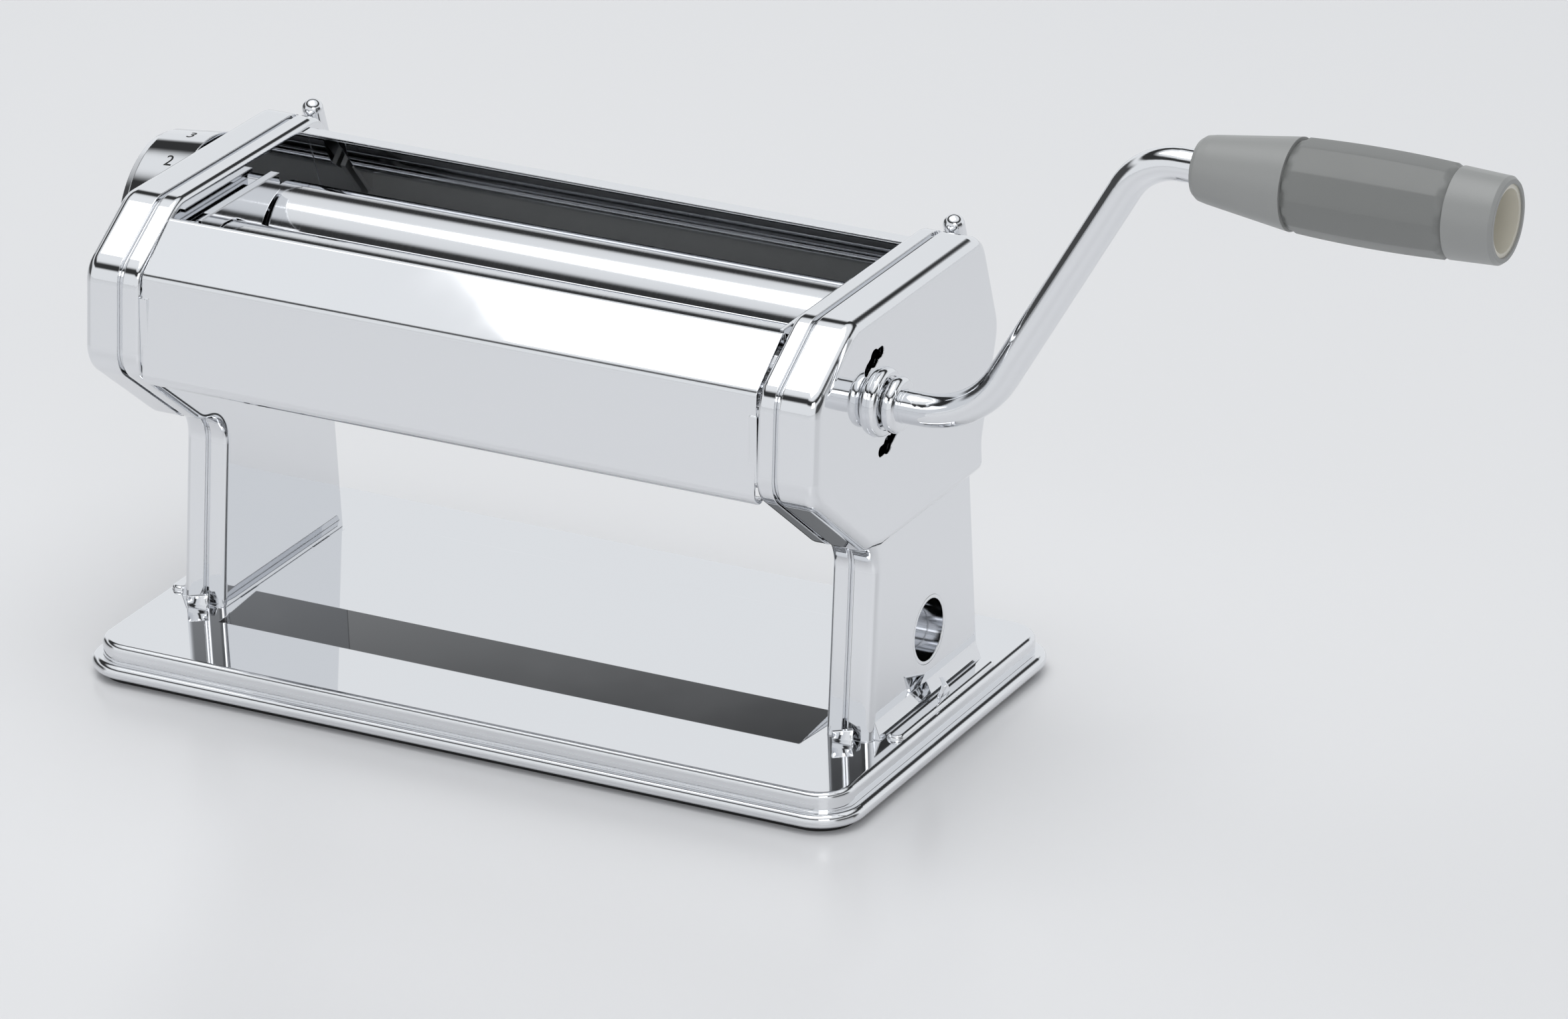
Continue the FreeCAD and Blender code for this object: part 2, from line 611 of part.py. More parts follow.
def rail():
    """Right rail: a rod with a domed top on two feet, down the rear slope."""
    dy, dz = BACK[0] - TOP_REAR[0], BACK[1] - TOP_REAR[1]
    size = hypot(dy, dz)
    along = V(0, dy / size, dz / size)
    out = V(0, -dz / size, dy / size)
    middle_x = (LIP_END + COVER_START) / 2
    start = V(middle_x, *TOP_REAR) + out * RAIL_STAND_OFF + along * RAIL_SET_DOWN
    rod = Part.makeCylinder(RAIL_D / 2, RAIL_DROP, start, along)
    dome = Part.makeSphere(RAIL_D / 2, start)
    low_dome = Part.makeSphere(RAIL_D / 2, start + along * RAIL_DROP)
    feet = []
    for share in (0.3, 0.68):
        seat = start + along * RAIL_DROP * share - out * RAIL_STAND_OFF
        feet.append(Part.makeCylinder(RAIL_FOOT_D / 2, RAIL_STAND_OFF, seat, out))
    return fuse([rod, dome, low_dome] + feet)


def dough_guide():
    """Right cheek: keeps dough off the gears; a shelf over the roller holds it to the frame plate."""
    inner = PLATE_IN - GUIDE_INSET
    clear_r = ROLLER_R + LOOSE
    sheet = box(inner, inner + GUIDE_SHEET, GUIDE_FRONT, GUIDE_REAR, ROLLER_HEIGHT + 4, GUIDE_TOP)
    for y in (DRIVE_Y, ADJUST_Y - CLOSE_TRAVEL, ADJUST_Y, ADJUST_Y + OPEN_TRAVEL):
        sheet = sheet.cut(rod_x(0, 200, y, ROLLER_HEIGHT, clear_r))
    fold = box(inner, inner + GUIDE_FOLD, GUIDE_FOLD_FRONT, GUIDE_REAR, GUIDE_TOP - GUIDE_SHEET, GUIDE_TOP)
    shelf_z = ROLLER_HEIGHT + ROLLER_R + GUIDE_SHELF
    shelf = box(inner, PLATE_IN, GUIDE_FOLD_FRONT, GUIDE_REAR, shelf_z, shelf_z + GUIDE_SHEET)
    return fuse([sheet, fold, shelf])


def tie_rod(place):
    """Spacer rod between the two frame plates."""
    return rod_x(-PLATE_IN, PLATE_IN, *TIE_RODS[place], TIE_ROD_D / 2)


def tie_rod_screws():
    """Hexagon screws that hold the tie rods, outside the frame plates."""
    screws = []
    for y, z in TIE_RODS.values():
        head = hexagon_x(PLATE_OUT, PLATE_OUT + NUT_HEIGHT, y, z, NUT_FLATS)
        screw = fuse([head, rod_x(PLATE_IN, PLATE_OUT + 1, y, z, TIE_ROD_D / 2 - 1)])
        screws += [screw, mirrored(screw)]
    return Part.makeCompound(screws)


def scraper(roller_y, root, half):
    """Thin blade from its root up to just short of a roller's underside."""
    angle = atan2(root[1] - ROLLER_HEIGHT, root[0] - roller_y)
    reach = ROLLER_R + SCRAPER_GAP + 0.1
    tip = (roller_y + reach * cos(angle), ROLLER_HEIGHT + reach * sin(angle))
    return sheet_strip([root, tip], SCRAPER_SHEET, -half, half)


def front_scraper():
    """Blade under the front roller, fixed between the frame plates."""
    return scraper(DRIVE_Y, (DRIVE_Y - 15.8, ROLLER_HEIGHT - 13.9), PLATE_IN)


def rear_scraper():
    """Blade under the rear roller with an ear at each end on a slider block."""
    blade = scraper(ADJUST_Y, (ADJUST_Y + 14.9, ROLLER_HEIGHT - 20.0), BUSH_START)
    ear = box(BARREL_END + LOOSE * 2, BUSH_START, ADJUST_Y + 7.8, ADJUST_Y + 12.9,
              ROLLER_HEIGHT - 21.0, ROLLER_HEIGHT - 4.0)
    return fuse([blade, ear, mirrored(ear)])


# ================================================================ rollers
def gear(y, phase):
    """Long-toothed gear, free of play problems over the whole roller travel."""
    middle_r = (GEAR_TIP_R + GEAR_ROOT_R) / 2
    spots = []
    for i in range(TEETH):
        heading = radians(phase + 360.0 * i / TEETH)
        flank = ((GEAR_ROOT_R, TOOTH_ROOT), (middle_r, TOOTH_MIDDLE), (GEAR_TIP_R, TOOTH_TIP))
        for sign, order in ((-1, flank), (1, flank[::-1])):
            for radius, width in order:
                a = heading + sign * asin(width / 2 / radius)
                spots.append(V(GEAR_START, y + radius * cos(a), ROLLER_HEIGHT + radius * sin(a)))
    return Part.Face(Part.makePolygon(spots + [spots[0]])).extrude(V(GEAR_WIDTH, 0, 0))


def drive_roller():
    """Front roller: tube, end caps, journals, and the crank socket in the right journal."""
    barrel = tube_x(-BARREL_END, BARREL_END, DRIVE_Y, ROLLER_HEIGHT, ROLLER_R, ROLLER_R - ROLLER_WALL)
    caps = [rod_x(BARREL_END - END_CAP, BARREL_END, DRIVE_Y, ROLLER_HEIGHT, ROLLER_R - 1),
            rod_x(-BARREL_END, -BARREL_END + END_CAP, DRIVE_Y, ROLLER_HEIGHT, ROLLER_R - 1)]
    journal_r = DRIVE_JOURNAL_D / 2
    right = rod_x(BARREL_END - 26, HEAD_FACE + HUB_BUSH_OUT - 0.4, DRIVE_Y, ROLLER_HEIGHT, journal_r)
    left = rod_x(-BUSH_END - 1, -BARREL_END + 1, DRIVE_Y, ROLLER_HEIGHT, journal_r)
    body = fuse([barrel] + caps + [right, left])
    socket_r = ROD_D / 2 + RUN
    mouth = HEAD_FACE + HUB_BUSH_OUT
    body = body.cut(rod_x(mouth - CRANK_SEAT - 0.4, mouth + 1, DRIVE_Y, ROLLER_HEIGHT, socket_r))
    return body.cut(hexagon_x(mouth - CRANK_SEAT - SPIGOT_LENGTH - 1, mouth, DRIVE_Y, ROLLER_HEIGHT,
                              SPIGOT_FLATS + 2 * RUN))


def drive_gear():
    """Gear pressed on the drive roller's right journal."""
    return gear(DRIVE_Y, 0).cut(rod_x(0, 200, DRIVE_Y, ROLLER_HEIGHT, DRIVE_JOURNAL_D / 2))


def adjusting_roller():
    """Rear roller: tube and end caps with hollow journals round the thickness shaft."""
    barrel = tube_x(-BARREL_END, BARREL_END, ADJUST_Y, ROLLER_HEIGHT, ROLLER_R, ROLLER_R - ROLLER_WALL)
    caps = [rod_x(BARREL_END - END_CAP, BARREL_END, ADJUST_Y, ROLLER_HEIGHT, ROLLER_R - 1),
            rod_x(-BARREL_END, -BARREL_END + END_CAP, ADJUST_Y, ROLLER_HEIGHT, ROLLER_R - 1)]
    journal_r = ADJUST_JOURNAL_D / 2
    right = rod_x(BARREL_END - 1, YOKE_END - 0.1, ADJUST_Y, ROLLER_HEIGHT, journal_r)
    left = rod_x(-BUSH_END, -BARREL_END + 1, ADJUST_Y, ROLLER_HEIGHT, journal_r)
    body = fuse([barrel] + caps + [right, left])
    return body.cut(rod_x(-200, 200, ADJUST_Y, ROLLER_HEIGHT, JOURNAL_BORE_D / 2))


def adjusting_gear():
    """Gear pressed on the adjusting roller's right journal, half a tooth out of step."""
    phase = 180.0 + 180.0 / TEETH
    return gear(ADJUST_Y, phase).cut(rod_x(0, 200, ADJUST_Y, ROLLER_HEIGHT, ADJUST_JOURNAL_D / 2))


def drive_bush():
    """Right bush of the drive roller, flanged, in the frame plate."""
    inner = DRIVE_JOURNAL_D / 2 + RUN
    sleeve = tube_x(BUSH_START, BUSH_END, DRIVE_Y, ROLLER_HEIGHT, inner + BUSH_WALL, inner)
    flange = tube_x(PLATE_OUT, BUSH_END, DRIVE_Y, ROLLER_HEIGHT, inner + BUSH_WALL + 1.8, inner)
    return fuse([sleeve, flange])


def hub_bush():
    """Bright bush round the crank's entry, set in the right cover."""
    inner = DRIVE_JOURNAL_D / 2 + RUN
    x1 = HEAD_FACE + HUB_BUSH_OUT
    body = tube_x(HEAD_FACE - 3.0, x1, DRIVE_Y, ROLLER_HEIGHT, HUB_BUSH_R, inner)
    rim = [e for e in edges_at_x(body, x1) if e.BoundBox.YLength > 2 * inner + 1]
    return body.makeFillet(HUB_BUSH_R - inner - 0.2, rim)


def slider_block():
    """Right slider block: runs in the plate's slot and carries the rear roller's journal."""
    low = ROLLER_HEIGHT - BLOCK_HEIGHT / 2
    top = ROLLER_HEIGHT + BLOCK_HEIGHT / 2
    core = box(BUSH_START, BUSH_END, ADJUST_Y - BLOCK_LENGTH / 2, ADJUST_Y + BLOCK_LENGTH / 2, low, top)
    return core.cut(rod_x(0, 200, ADJUST_Y, ROLLER_HEIGHT, ADJUST_JOURNAL_D / 2 + RUN))


def slider_cap():
    """Outer flange of the slider block, which keeps it in its slot."""
    low = ROLLER_HEIGHT - BLOCK_HEIGHT / 2 - BLOCK_CHEEK
    top = ROLLER_HEIGHT + BLOCK_HEIGHT / 2 + BLOCK_CHEEK
    x0 = PLATE_OUT + RUN
    front = ADJUST_Y - CAM_RADIUS - FOLLOWER_D - 1.0
    plate = box(x0, BUSH_END, front, ADJUST_Y + BLOCK_LENGTH / 2, low, top)
    tongue = box(x0, BUSH_END, ADJUST_Y, SLIDER_PEG_Y + 2.4, ROLLER_HEIGHT - 3, ROLLER_HEIGHT + 3)
    plate = fuse([plate, tongue])
    return plate.cut(rod_x(0, 200, ADJUST_Y, ROLLER_HEIGHT, ADJUST_JOURNAL_D / 2 + RUN))


def follower(x0, x1):
    """Pin that bears on a cam's front side; it reaches from x0 to x1."""
    y = ADJUST_Y - CAM_RADIUS - FOLLOWER_D / 2 - RUN
    return rod_x(x0, x1, y, ROLLER_HEIGHT, FOLLOWER_D / 2)


def slider_peg(x1):
    """Peg behind the block that takes one end of the slider's spring."""
    return rod_x(BUSH_END - 1, x1, SLIDER_PEG_Y, ROLLER_HEIGHT, PEG_D / 2)


def left_slider():
    """Left slider block with its cam follower and spring peg."""
    block = fuse([slider_block(), slider_cap()])
    reach = CAM_START_LEFT + CAM_THICK + 0.2
    return mirrored(fuse([block, follower(BUSH_END - 1, reach), slider_peg(SLIDER_SPRING_X + 2.6)]))


def right_slider():
    """Right slider block; its follower stands on the yoke beyond the gears."""
    return fuse([slider_block(), slider_cap(), slider_peg(YOKE_START)])


def right_yoke():
    """Plate round the end of the rear roller's journal, with the right cam follower."""
    y0 = ADJUST_Y - CAM_RADIUS - FOLLOWER_D - 1.0
    plate = box(YOKE_START, YOKE_END, y0, ADJUST_Y + 10, ROLLER_HEIGHT - 9.5, ROLLER_HEIGHT + 9.5)
    plate = plate.makeFillet(3, [e for e in plate.Edges if abs(e.BoundBox.XLength - YOKE_SHEET) < 1e-6])
    tongue = box(YOKE_START, YOKE_END, ADJUST_Y, SLIDER_PEG_Y + 2.4, ROLLER_HEIGHT - 3, ROLLER_HEIGHT + 3)
    plate = fuse([plate, tongue])
    plate = plate.cut(rod_x(0, 200, ADJUST_Y, ROLLER_HEIGHT, ADJUST_JOURNAL_D / 2 + RUN))
    return fuse([plate, follower(YOKE_START, CAM_START_RIGHT + CAM_THICK - 0.2)])


def coil(length, radius, wire, turns):
    """Coil of round wire along Z from the origin."""
    helix = Part.makeHelix(length / turns, length, radius)
    ring = Part.Wire([Part.makeCircle(wire / 2, V(radius, 0, 0), Y_AXIS)])
    return Part.Wire(helix).makePipeShell([ring], True, True)


def slider_springs():
    """Tension springs that hold the slider blocks' followers against the cams."""
    eye = SLIDER_SPRING_R - 0.02
    start = SLIDER_PEG_Y + eye
    length = ANCHOR_PEG_Y - SLIDER_PEG_Y - 2 * eye
    spring = coil(length, SLIDER_SPRING_R, SLIDER_SPRING_WIRE, SLIDER_SPRING_TURNS)
    spring.rotate(V(0, 0, 0), X_AXIS, -90)
    spring.translate(V(SLIDER_SPRING_X, start, ROLLER_HEIGHT))
    eyes = [Part.makeTorus(eye, SLIDER_SPRING_WIRE / 2, V(SLIDER_SPRING_X, y, ROLLER_HEIGHT), X_AXIS)
            for y in (SLIDER_PEG_Y, ANCHOR_PEG_Y)]
    arms = []
    for y, reach in ((start, 1), (start + length, -1)):
        arms.append(box(SLIDER_SPRING_X - 0.3, SLIDER_SPRING_X + SLIDER_SPRING_R, y - 0.25, y + 0.25,
                        ROLLER_HEIGHT - 0.25, ROLLER_HEIGHT + 0.25))
    whole = fuse([spring] + eyes + arms)
    return Part.makeCompound([whole, mirrored(whole)])


def cam(x0):
    """Spiral cam on the thickness shaft: its radius grows evenly with the angle."""
    spots = []
    first = -25.0
    last = 180.0 + (REST_SETTING - 1) * SETTING_ANGLE + 25.0
    steps = 54
    for i in range(steps + 1):
        a = first + (last - first) * i / steps
        radius = CAM_RADIUS + CAM_RISE * radians(180.0 - a)
        spots.append(V(x0, ADJUST_Y + radius * cos(radians(a)), ROLLER_HEIGHT + radius * sin(radians(a))))
    curve = Part.BSplineCurve()
    curve.interpolate(spots)
    wire = Part.Wire([curve.toShape(), Part.LineSegment(spots[-1], spots[0]).toShape()])
    disc = Part.Face(wire).extrude(V(CAM_THICK, 0, 0))
    return disc.cut(rod_x(x0 - 1, x0 + 9, ADJUST_Y, ROLLER_HEIGHT, SHAFT_D / 2))


# ================================================================ dial
def left_shaft_bearing():
    """Bush in the left cover for the thickness shaft."""
    inner = SHAFT_D / 2 + RUN
    return tube_x(-HEAD_FACE, -HEAD_FACE + 4.4, ADJUST_Y, ROLLER_HEIGHT, inner + BUSH_WALL, inner)


def right_shaft_bearing():
    """Bush on the inside of the right cover for the shaft's far end."""
    inner = SHAFT_D / 2 + RUN
    face = HEAD_FACE - COVER_SHEET
    return tube_x(CAM_START_RIGHT + CAM_THICK + LOOSE, face, ADJUST_Y, ROLLER_HEIGHT, inner + BUSH_WALL, inner)


def index_ring():
    """Ring of index holes on the left cover, one hole for each setting."""
    x0 = -HEAD_FACE - INDEX_RING_THICK
    ring = tube_x(x0, -HEAD_FACE, ADJUST_Y, ROLLER_HEIGHT, INDEX_R + 3.4, SHAFT_D / 2 + BUSH_WALL + RUN)
    for i in range(SETTINGS):
        a = radians(90.0 + (i - REST_SETTING + 1) * SETTING_ANGLE)
        ring = ring.cut(rod_x(x0 - 1, x0 + 2, ADJUST_Y + INDEX_R * cos(a), ROLLER_HEIGHT + INDEX_R * sin(a),
                              INDEX_HOLE_D / 2))
    return ring


def dial():
    """Numbered dial: a cup with a tapered skirt and a well in its face for spring and screw."""
    near = -(HEAD_FACE + DIAL_GAP)
    far = -(HEAD_FACE + DIAL_DEPTH)
    well = far + WELL_DEPTH
    bore = SHAFT_D / 2 + RUN
    points = [(near, DIAL_R - DIAL_WALL), (near, DIAL_R), (far + 2.6, DIAL_FACE_R),
              (far + 0.8, DIAL_FACE_R - 0.8), (far, DIAL_FACE_R - 2.8), (far, WELL_R), (well, WELL_R), (well, bore), (well + 2.2, bore),
              (well + 2.2, WELL_R + DIAL_WALL), (far + DIAL_WALL, WELL_R + DIAL_WALL),
              (far + DIAL_WALL, DIAL_FACE_R - 3.2), (far + 3.4, DIAL_FACE_R - DIAL_WALL)]
    return revolve_x(points, ADJUST_Y, ROLLER_HEIGHT)


def index_pin():
    """Pin on the dial's back that finds an index hole; it stops just short of the ring."""
    tip = -(HEAD_FACE + INDEX_RING_THICK + PIN_SHORT)
    root = -(HEAD_FACE + DIAL_DEPTH - DIAL_WALL)
    return rod_x(root, tip, ADJUST_Y, ROLLER_HEIGHT + INDEX_R, INDEX_PIN_D / 2)


def thickness_shaft():
    """Long shaft from the dial through the hollow rear roller to the right bearing."""
    right = HEAD_FACE - COVER_SHEET - LOOSE
    left = HEAD_FACE + DIAL_DEPTH - WASHER_SINK - WASHER_THICK
    return rod_x(-left, right, ADJUST_Y, ROLLER_HEIGHT, SHAFT_D / 2)


def dial_washer():
    """Washer on the shaft's end that the dial's spring presses on."""
    x0 = -(HEAD_FACE + DIAL_DEPTH - WASHER_SINK)
    return rod_x(x0, x0 + WASHER_THICK, ADJUST_Y, ROLLER_HEIGHT, WELL_R - LOOSE)


def dial_screw():
    """Cross-headed screw that holds the washer on the shaft."""
    x1 = -(HEAD_FACE + DIAL_DEPTH - WASHER_SINK)
    head = revolve_x([(x1, 0), (x1, 3.2), (x1 - 0.7, 3.0), (x1 - 1.3, 2.0), (x1 - 1.5, 0)],
                     ADJUST_Y, ROLLER_HEIGHT)
    for across, up in ((3.4, 0.7), (0.7, 3.4)):
        head = head.cut(box(x1 - 2, x1 - 0.7, ADJUST_Y - across / 2, ADJUST_Y + across / 2,
                            ROLLER_HEIGHT - up / 2, ROLLER_HEIGHT + up / 2))
    return head


def dial_spring():
    """Coil spring in the dial's well, between the washer and the well's floor."""
    x0 = -(HEAD_FACE + DIAL_DEPTH - WASHER_SINK - WASHER_THICK) + SPRING_WIRE / 2
    x1 = -(HEAD_FACE + DIAL_DEPTH - WELL_DEPTH) - SPRING_WIRE / 2 - RUN
    spring = coil(x1 - x0, (WELL_R + SHAFT_D / 2) / 2, SPRING_WIRE, SPRING_TURNS)
    spring.rotate(V(0, 0, 0), Y_AXIS, 90)
    spring.translate(V(x0, ADJUST_Y, ROLLER_HEIGHT))
    return spring


# ================================================================ crank
def crank_path():
    """Centre line of the rod: hub leg, bend, arm, bend, grip leg."""
    mouth = HEAD_FACE + HUB_BUSH_OUT
    start = V(mouth - CRANK_SEAT, DRIVE_Y, ROLLER_HEIGHT)
    elbow = V(BEND_X, DRIVE_Y, ROLLER_HEIGHT)
    wrist = V(BEND_X + CRANK_THROW / tan(radians(ARM_ANGLE)), DRIVE_Y, GRIP_Z)
    end = V(GRIP_END - LINER_DEPTH + WASHER_THICK + 2 * RUN + 0.5, DRIVE_Y, GRIP_Z)
    edges = []
    here = start
    for corner, after, radius in ((elbow, wrist, LOWER_BEND_R), (wrist, end, UPPER_BEND_R)):
        inward = here - corner
        outward = after - corner
        half = inward.getAngle(outward) / 2
        inward.normalize()
        outward.normalize()
        first = corner + inward * (radius / tan(half))
        last = corner + outward * (radius / tan(half))
        middle = inward + outward
        middle.normalize()
        middle = corner + middle * (radius / sin(half) - radius)
        edges.append(Part.LineSegment(here, first).toShape())
        edges.append(Part.Arc(first, middle, last).toShape())
        here = last
    edges.append(Part.LineSegment(here, end).toShape())
    return Part.Wire(edges)


def crank_rod():
    """Bent round rod with a hexagon spigot at the hub and a riveted head in the grip."""
    path = crank_path()
    x0 = HEAD_FACE + HUB_BUSH_OUT - CRANK_SEAT
    ring = Part.Wire([Part.makeCircle(ROD_D / 2, V(x0, DRIVE_Y, ROLLER_HEIGHT), X_AXIS)])
    rod = path.makePipeShell([ring], True, True)
    spigot = hexagon_x(x0 - SPIGOT_LENGTH, x0 + 1, DRIVE_Y, ROLLER_HEIGHT, SPIGOT_FLATS)
    tip = GRIP_END - LINER_DEPTH + WASHER_THICK + 2 * RUN
    head = revolve_x([(tip, 0), (tip, 5.0), (tip + 0.8, 4.6), (tip + 1.7, 3.0), (tip + 2.0, 0)],
                     DRIVE_Y, GRIP_Z)
    return fuse([rod, spigot, head])


def crank_collar():
    """Ring pressed on the rod where it meets the hub."""
    x0 = HEAD_FACE + HUB_BUSH_OUT + LOOSE
    inner = ROD_D / 2
    x1 = x0 + COLLAR_WIDTH
    band = tube_x(x0, x1, DRIVE_Y, ROLLER_HEIGHT, COLLAR_R, inner)
    rims = [e for x in (x0, x1) for e in edges_at_x(band, x) if e.BoundBox.YLength > 2 * inner + 1]
    return band.makeFillet(COLLAR_WIDTH / 2 - 0.2, rims)


def grip_washer():
    """Washer under the riveted head that keeps the grip on."""
    x0 = GRIP_END - LINER_DEPTH + 2 * RUN
    return tube_x(x0, x0 + WASHER_THICK, DRIVE_Y, GRIP_Z, LINER_R - LINER_WALL - 0.8, ROD_D / 2)


def crank_grip():
    """Hollow grip: rounded nose, flaring neck, waist for the sleeve, end collar."""
    neck = GRIP_START + GRIP_NOSE_LENGTH
    collar = GRIP_END - GRIP_COLLAR_LENGTH
    waist = GRIP_NECK_R - SLEEVE_WALL
    loose_bore = ROD_D / 2 + LOOSE
    core = GRIP_START + NOSE_SOLID
    points = [(GRIP_START, loose_bore), (GRIP_START, GRIP_NOSE_R - 2.6), (GRIP_START + 0.5, GRIP_NOSE_R - 1.2),
              (GRIP_START + 1.6, GRIP_NOSE_R - 0.4), (GRIP_START + 3.6, GRIP_NOSE_R), (neck, GRIP_NECK_R),
              (neck, waist), (collar, waist), (collar, GRIP_END_R + 0.5), (GRIP_END - 0.9, GRIP_END_R),
              (GRIP_END, GRIP_END_R - 0.7), (GRIP_END, LINER_R), (core, LINER_R), (core, loose_bore)]
    return revolve_x(points, DRIVE_Y, GRIP_Z)


def grip_sleeve():
    """Barrel-shaped sleeve with low flutes along it, over the grip's waist."""
    neck = GRIP_START + GRIP_NOSE_LENGTH
    collar = GRIP_END - GRIP_COLLAR_LENGTH
    middle = (neck + collar) / 2
    waist = GRIP_NECK_R - SLEEVE_WALL
    points = [(neck, waist), (neck, GRIP_NECK_R - 0.1), (neck + 0.5, GRIP_NECK_R + 0.2), (middle, GRIP_BELLY_R),
              (collar - 0.5, GRIP_NECK_R + 0.2), (collar, GRIP_NECK_R - 0.2), (collar, waist)]
    return revolve_x(points, DRIVE_Y, GRIP_Z)


def grip_liner():
    """Pale plastic liner: bearing bore on the rod and an open cup at the end."""
    core = GRIP_START + NOSE_SOLID
    floor = GRIP_END - LINER_DEPTH
    points = [(core, ROD_D / 2 + RUN), (core, LINER_R), (GRIP_END - 0.5, LINER_R),
              (GRIP_END - 0.5, LINER_R - LINER_WALL), (floor, LINER_R - LINER_WALL), (floor, ROD_D / 2 + RUN)]
    return revolve_x(points, DRIVE_Y, GRIP_Z)


# ================================================================ all pieces
def both(name, shape):
    """Write a right-hand piece and its mirror image on the left."""
    write("right_" + name, shape)
    write("left_" + name, mirrored(shape))


def build():
    """Write every piece."""
    os.makedirs("parts", exist_ok=True)
    write("base_plate", base_plate())
    write("foot_ring", foot_ring())
    write("lock_tabs", lock_tabs())
    both("frame_plate", frame_plate())
    write("right_cover", right_cover())
    write("left_cover", left_cover())
    write("clamp_socket", clamp_socket())
    write("front_panel", front_panel())
    write("rear_panel", rear_panel())
    both("rail", rail())
    both("dough_guide", dough_guide())
    for place in TIE_RODS:
        write(place + "_tie_rod", tie_rod(place))
    write("tie_rod_screws", tie_rod_screws())
    write("front_scraper", front_scraper())
    both("drive_bush", drive_bush())
    write("hub_bush", hub_bush())
    write("drive_roller", drive_roller())
    write("drive_gear", drive_gear())
    write("crank_rod", crank_rod())
    write("crank_collar", crank_collar())
    write("grip_washer", grip_washer())
    write("crank_grip", crank_grip())
    write("grip_sleeve", grip_sleeve())
    write("grip_liner", grip_liner())
    write("left_slider", left_slider())
    write("right_slider", right_slider())
    write("right_yoke", right_yoke())
    write("slider_springs", slider_springs())
    write("rear_scraper", rear_scraper())
    write("adjusting_roller", adjusting_roller())
    write("adjusting_gear", adjusting_gear())
    write("thickness_shaft", thickness_shaft())
    write("right_cam", cam(CAM_START_RIGHT))
    write("left_cam", cam(-CAM_START_LEFT - CAM_THICK))
    write("left_shaft_bearing", left_shaft_bearing())
    write("right_shaft_bearing", right_shaft_bearing())
    write("index_ring", index_ring())
    write("dial", dial())
    write("index_pin", index_pin())
    write("dial_washer", dial_washer())
    write("dial_screw", dial_screw())
    write("dial_spring", dial_spring())


build()
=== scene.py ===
# %% [markdown]
# # A hand-cranked pasta roller machine
# The machine stands on a pressed steel base.  Two side walls carry two rollers, a crank turns the front
# roller, and a numbered dial moves the rear one.  Its moving frame is made elsewhere and loaded here: this
# file only gives it finishes, adds the fine pieces, and sets up floor, light and camera.

# %% Load the frame
import bpy
from math import cos, pi, radians, sin
from mathutils import Matrix, Vector


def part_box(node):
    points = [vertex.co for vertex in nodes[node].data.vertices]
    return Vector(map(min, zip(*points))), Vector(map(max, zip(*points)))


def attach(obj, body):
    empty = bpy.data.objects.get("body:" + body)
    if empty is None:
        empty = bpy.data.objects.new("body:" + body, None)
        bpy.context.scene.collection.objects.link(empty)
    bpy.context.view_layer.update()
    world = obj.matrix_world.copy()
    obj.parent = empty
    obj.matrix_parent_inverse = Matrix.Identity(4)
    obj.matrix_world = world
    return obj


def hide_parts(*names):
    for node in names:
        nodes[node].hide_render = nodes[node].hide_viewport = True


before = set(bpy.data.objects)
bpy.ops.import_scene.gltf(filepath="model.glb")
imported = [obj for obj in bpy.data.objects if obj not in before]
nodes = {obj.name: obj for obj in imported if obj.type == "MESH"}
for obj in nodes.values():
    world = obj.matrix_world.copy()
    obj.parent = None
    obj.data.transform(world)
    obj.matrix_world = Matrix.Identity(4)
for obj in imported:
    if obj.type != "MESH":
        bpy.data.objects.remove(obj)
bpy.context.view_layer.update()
print("pieces in the frame:", len(nodes))

# %% [markdown]
# ## Adding up shader sockets like numbers
# A finish is a little sum: a base value, plus some noise times an amount.  Node trees hide such sums in a
# tangle of Math nodes.  A small class that keeps one output socket, and answers +, - and *, lets the sum be
# written on one line while it still builds ordinary nodes.

# %% A socket that can be added and multiplied
class Field:
    """One output socket of a node tree; arithmetic on it adds Math nodes."""

    def __init__(self, tree, socket):
        self.tree = tree
        self.socket = socket

    def math(self, operation, other=None, third=None):
        node = self.tree.nodes.new("ShaderNodeMath")
        node.operation = operation
        for place, value in zip(node.inputs, (self, other, third)):
            if isinstance(value, Field):
                self.tree.links.new(value.socket, place)
            elif value is not None:
                place.default_value = value
        return Field(self.tree, node.outputs[0])

    def __add__(self, other):
        return self.math("ADD", other)

    def __sub__(self, other):
        return self.math("SUBTRACT", other)

    def __mul__(self, other):
        return self.math("MULTIPLY", other)

    def step(self, low, high):
        """0 below low, 1 above high, smooth between them."""
        node = self.tree.nodes.new("ShaderNodeMapRange")
        node.interpolation_type = "SMOOTHSTEP"
        self.tree.links.new(self.socket, node.inputs["Value"])
        node.inputs["From Min"].default_value = low
        node.inputs["From Max"].default_value = high
        return Field(self.tree, node.outputs["Result"])

    def band(self, low, high, soft):
        """1 between low and high, 0 outside, with soft edges."""
        return self.step(low - soft, low + soft) * (self.step(high - soft, high + soft) * -1 + 1)

    def into(self, socket):
        self.tree.links.new(self.socket, socket)


def split(tree, vector_socket):
    """The three parts of a vector socket, as fields."""
    node = tree.nodes.new("ShaderNodeSeparateXYZ")
    tree.links.new(vector_socket, node.inputs[0])
    return [Field(tree, out) for out in node.outputs]


def blend_colour(tree, amount, first, second):
    """Colour socket that goes from first to second as amount goes from 0 to 1."""
    node = tree.nodes.new("ShaderNodeMix")
    node.data_type = "RGBA"
    node.inputs["A"].default_value = (*first, 1)
    node.inputs["B"].default_value = (*second, 1)
    amount.into(node.inputs["Factor"])
    return node.outputs["Result"]


# %% [markdown]
# ## A surface to build on
# Every finish starts from one Principled shader.  Textures are read in object coordinates, because the
# pieces have no unwrapped maps and a noise in metres keeps its real scale on each of them.

